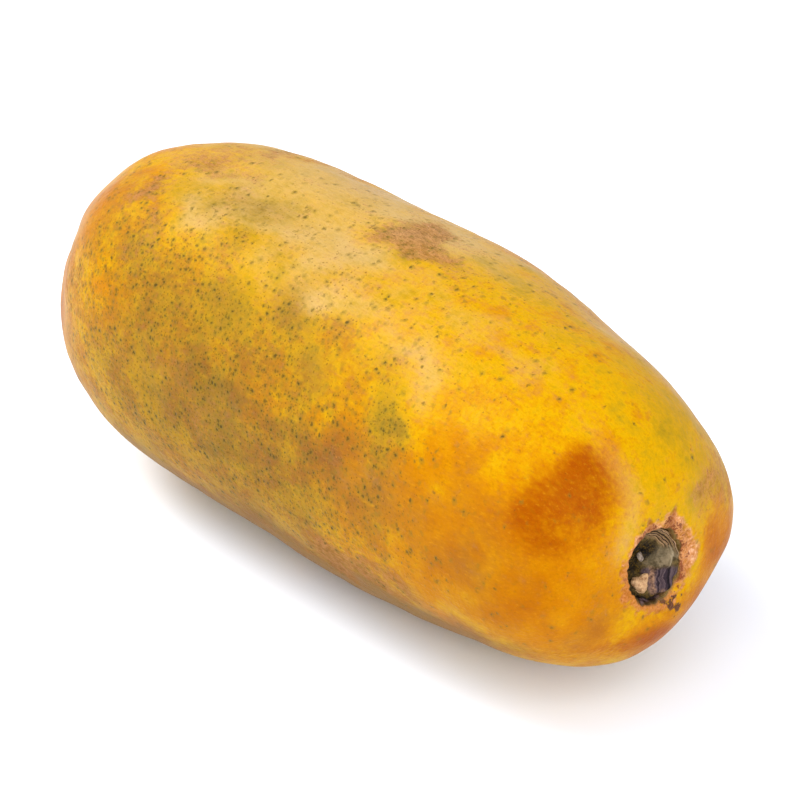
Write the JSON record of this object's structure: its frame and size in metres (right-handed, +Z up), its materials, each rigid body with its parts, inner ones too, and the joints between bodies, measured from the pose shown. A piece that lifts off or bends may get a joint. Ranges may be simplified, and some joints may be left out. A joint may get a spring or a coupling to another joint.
{
  "type": "papaya",
  "caption": "Long ripe papaya lying on its side, orange-yellow skin over soft lobes, with the dry stump of its stalk in the hollow at the stem end.",
  "frame": {"origin": "on the surface the fruit lies on, under the middle of its bounding box", "axes": "+X along the fruit from the blossom tip to the stem end, +Z up"},
  "size_m": [0.268, 0.1208, 0.1164],
  "materials": {
    "skin": "satin",
    "dry_stalk": "matte"
  },
  "bodies": {
    "root": {"fruit": "skin", "stem_stump": "dry_stalk"}
  },
  "joints": []
}
